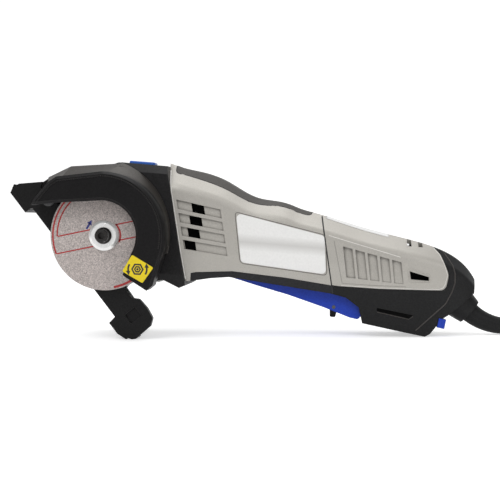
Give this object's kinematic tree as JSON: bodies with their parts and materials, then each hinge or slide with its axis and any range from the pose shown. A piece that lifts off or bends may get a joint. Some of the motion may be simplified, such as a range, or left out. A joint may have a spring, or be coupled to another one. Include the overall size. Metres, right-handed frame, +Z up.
{
  "type": "compact circular saw",
  "caption": "Slim corded circular saw with a small abrasive disc in a steel guard, a hinged depth foot and a paddle switch under a barrel grip.",
  "frame": {"origin": "on the floor under the middle of the saw without its cord", "axes": "+X from the disc towards the cord end, +Y away from the disc side, +Z up"},
  "size_m": [0.5658, 0.1305, 0.1283],
  "materials": {
    "silver_plastic": "satin",
    "black_casting": "satin",
    "black_guard": "satin",
    "black_foot": "satin",
    "grey_grip": "matte",
    "black_grip": "matte",
    "black_plastic": "satin",
    "label_film": "satin",
    "warning_yellow": "satin",
    "blue_plastic": "satin",
    "steel": "brushed",
    "lamination": "matte",
    "copper": "satin",
    "carbon": "matte",
    "fan_plastic": "satin",
    "abrasive": "matte",
    "black_rubber": "matte",
    "tie_band": "matte"
  },
  "bodies": {
    "saw_body": {"bearing_plate": "steel", "brush_holders": "black_plastic", "carbon_brushes": "carbon", "cord": "black_rubber", "cord_coil": "black_rubber", "cord_tie": "tie_band", "depth_bolt": "steel", "end_cap": "black_plastic", "field_coils": "copper", "front_motor_bearing": "steel", "front_spindle_bearing": "steel", "gear_case": "black_casting", "guard_cover": "black_guard", "guard_shell": "black_guard", "guard_sticker": "warning_yellow", "hinge_pin": "steel", "label_plate": "label_film", "lower_grip": "black_grip", "motor_housing": "silver_plastic", "paddle_pins": "steel", "plug": "black_rubber", "plug_blades": "copper", "rear_motor_bearing": "steel", "rear_shell_far": "silver_plastic", "rear_shell_near": "silver_plastic", "rear_spindle_bearing": "steel", "stator_core": "lamination", "strain_relief": "black_rubber", "switch_body": "black_plastic", "tail_grip": "black_grip", "top_grip": "grey_grip"},
    "spindle_stack": {"spindle": "steel", "bevel_gear": "steel", "inner_flange": "steel", "cutting_disc": "abrasive", "outer_flange": "steel", "disc_bolt": "steel"},
    "armature": {"armature_shaft": "steel", "armature_core": "lamination", "armature_windings": "copper", "commutator": "copper", "cooling_fan": "fan_plastic", "bevel_pinion": "steel"},
    "foot_frame": {"foot": "black_foot", "depth_quadrant": "steel"},
    "clamp_lever": {"depth_lever": "black_plastic"},
    "paddle_switch": {"paddle": "blue_plastic", "lock_pin": "steel"},
    "lock_off": {"lock_lever": "black_plastic"},
    "plunger": {"switch_plunger": "black_plastic"},
    "lock_button": {"shaft_lock_button": "blue_plastic"},
    "stored_key": {"hex_key": "steel"}
  },
  "joints": [
    {"name": "armature_spin", "type": "hinge", "parent": "saw_body", "child": "armature", "pos_m": [-0.038, 0.0055, 0.06854], "axis": [0.9963, 0, -0.0855], "continuous": true},
    {"name": "spindle_spin", "type": "hinge", "parent": "saw_body", "child": "spindle_stack", "pos_m": [-0.09778, 0.0055, 0.07368], "axis": [0, 1, 0], "continuous": true},
    {"name": "foot_pivot", "type": "hinge", "parent": "saw_body", "child": "foot_frame", "pos_m": [-0.13874, 0.0055, 0.09927], "axis": [0, -1, 0], "range_deg": [-3, 19.5]},
    {"name": "clamp_turn", "type": "hinge", "parent": "saw_body", "child": "clamp_lever", "pos_m": [-0.0581, 0.0455, 0.07057], "axis": [0, 1, 0], "range_deg": [0, 55]},
    {"name": "paddle_press", "type": "hinge", "parent": "saw_body", "child": "paddle_switch", "pos_m": [0.00602, 0.0055, 0.04349], "axis": [0, -1, 0], "range_deg": [0, 3.2], "stiffness_Nm_per_rad": 2.5},
    {"name": "lock_swing", "type": "hinge", "parent": "paddle_switch", "child": "lock_off", "pos_m": [0.06232, 0.0055, 0.02119], "axis": [0, 1, 0], "range_deg": [0, 20], "stiffness_Nm_per_rad": 0.1},
    {"name": "plunger_slide", "type": "slide", "parent": "saw_body", "child": "plunger", "axis": [0.0855, 0, 0.9963], "range_m": [0, 0.0041]},
    {"name": "shaft_lock_press", "type": "slide", "parent": "saw_body", "child": "lock_button", "axis": [-0.0855, 0, -0.9963], "range_m": [0, 0.003], "stiffness_N_per_m": 1500},
    {"name": "key_slide", "type": "slide", "parent": "saw_body", "child": "stored_key", "axis": [0.9763, 0, -0.2163], "range_m": [0, 0.046]}
  ],
  "couplings": [
    {"joint": "spindle_spin", "follows": "armature_spin", "ratio": 0.55},
    {"joint": "plunger_slide", "follows": "paddle_press", "m_per_rad": 0.072}
  ]
}
